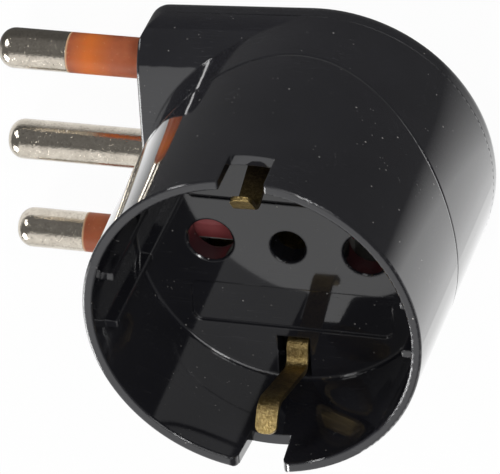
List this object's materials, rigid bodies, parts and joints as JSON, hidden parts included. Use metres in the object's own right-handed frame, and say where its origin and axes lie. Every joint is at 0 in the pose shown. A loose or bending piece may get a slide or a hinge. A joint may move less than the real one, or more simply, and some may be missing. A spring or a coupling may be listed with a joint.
{
  "type": "angled plug adapter",
  "caption": "Adapter with a row of round pins leaving at a right angle to a round, recessed, shuttered socket with side earth clips.",
  "frame": {"origin": "middle of the flat back, on the axis of the round socket", "axes": "+Z out of the socket's mouth, the plug pins point along -X, +Y towards the wider notch in the rim"},
  "size_m": [0.0611, 0.0418, 0.0396],
  "materials": {
    "black_plastic": "glossy moulded black plastic with fine dust and hairline scratches",
    "nickel": "nickel-plated turned brass, slightly handled",
    "sleeve_plastic": "translucent orange-brown moulded plastic",
    "brass": "rolled and bent brass strip",
    "carrier_plastic": "plain moulded grey plastic",
    "shutter_plastic": "smooth moulded red plastic",
    "screw_steel": "zinc-plated steel"
  },
  "bodies": {
    "adapter": {"rear_cover": "black_plastic", "rear_housing": "black_plastic", "socket_body": "black_plastic", "line_pin": "nickel", "neutral_pin": "nickel", "earth_pin": "nickel", "line_pin_sleeve": "sleeve_plastic", "neutral_pin_sleeve": "sleeve_plastic", "line_contact": "brass", "neutral_contact": "brass", "earth_contact": "brass", "line_link": "brass", "neutral_link": "brass", "earth_link": "brass", "earth_strap": "brass", "line_rivet": "brass", "neutral_rivet": "brass", "earth_rivet": "brass", "contact_carrier": "carrier_plastic", "shutter_spring": "screw_steel", "cover_screws": "screw_steel", "bed_screws": "screw_steel"},
    "shutter": {"shutter": "shutter_plastic"}
  },
  "joints": [
    {"name": "shutter_slide", "type": "slide", "parent": "adapter", "child": "shutter", "axis": [0, 1, 0], "range_m": [0, 0.0052], "stiffness_N_per_m": 150, "springref_m": -0.0008, "deforming": ["shutter_spring"]}
  ]
}
